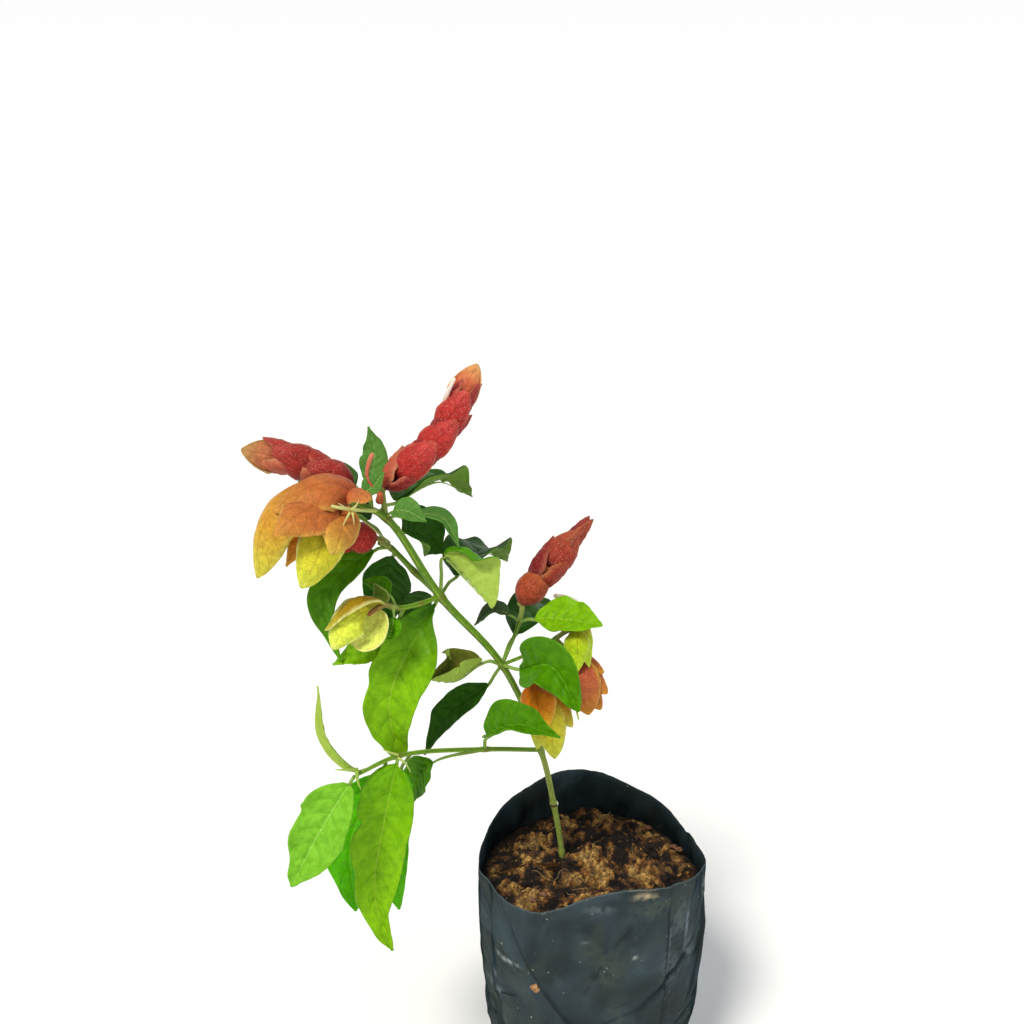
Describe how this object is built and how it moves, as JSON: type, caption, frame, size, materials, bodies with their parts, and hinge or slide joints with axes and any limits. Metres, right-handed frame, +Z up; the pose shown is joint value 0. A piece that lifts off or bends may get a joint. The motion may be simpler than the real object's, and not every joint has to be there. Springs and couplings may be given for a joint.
{
  "type": "shrimp plant in a grow bag",
  "caption": "Flowering shrimp plant with arching leafy stems and spikes of overlapping bracts, rooted in soil in a black film nursery bag that stands on its flat base.",
  "frame": {"origin": "centre of the bag's flat base", "axes": "+Z up, +X to the right seen from the front, -Y to the front; the main stem leans towards -X and -Y"},
  "size_m": [0.1798, 0.1169, 0.3295],
  "materials": {
    "film": "thin black polythene film, dusty satin, creased",
    "soil": "coarse crumbly brown potting soil, matte",
    "green_stem": "green stem with brown rings at its nodes, finely hairy",
    "deep_leaf": "dark green satin leaf with sunken veins",
    "fresh_leaf": "mid to light green leaf, mottled between its veins",
    "pale_leaf": "pale grey-green young leaf or underside",
    "red_bract": "red hairy bract with tan edges",
    "salmon_bract": "salmon to peach bract with yellow-green tip",
    "amber_bract": "orange bract that turns yellow and lime at its tip",
    "lime_bract": "yellow-lime young bract"
  },
  "bodies": {
    "root": {"grow_bag": "film", "soil": "soil", "main_stem": "green_stem", "low_branch": "green_stem", "twin_branch": "green_stem", "front_branch": "green_stem", "right_branch": "green_stem", "stalk_branch": "green_stem", "leaf_low_over": "deep_leaf", "leaf_low_under": "deep_leaf", "leaf_low_behind": "deep_leaf", "leaf_middle_left": "deep_leaf", "leaf_middle_right": "deep_leaf", "leaf_middle_back": "deep_leaf", "leaf_right_arched": "deep_leaf", "leaf_fork_dark": "deep_leaf", "leaf_fork_back": "deep_leaf", "leaf_front_narrow": "deep_leaf", "leaf_twin_dark": "deep_leaf", "leaf_twin_back": "deep_leaf", "leaf_upper_dark": "deep_leaf", "leaf_upper_back": "deep_leaf", "leaf_crown_back": "deep_leaf", "leaf_low_front": "fresh_leaf", "leaf_low_hidden": "fresh_leaf", "leaf_low_left": "fresh_leaf", "leaf_right_pale": "fresh_leaf", "leaf_fork_front": "fresh_leaf", "leaf_front_small": "fresh_leaf", "leaf_twin_long": "fresh_leaf", "leaf_crown_behind": "fresh_leaf", "leaf_low_curled": "pale_leaf", "leaf_middle_small": "pale_leaf", "leaf_fork_turned": "pale_leaf", "leaf_front_under": "pale_leaf", "leaf_upper_small": "pale_leaf", "leaf_upper_narrow": "pale_leaf", "leaf_crown_small": "pale_leaf", "spike_red": "red_bract", "spike_behind": "red_bract", "spike_dark": "red_bract", "spike_right": "red_bract", "spike_pink": "salmon_bract", "spike_open": "salmon_bract", "spike_amber": "amber_bract", "spike_bud": "lime_bract", "spike_lime": "lime_bract"}
  },
  "joints": []
}
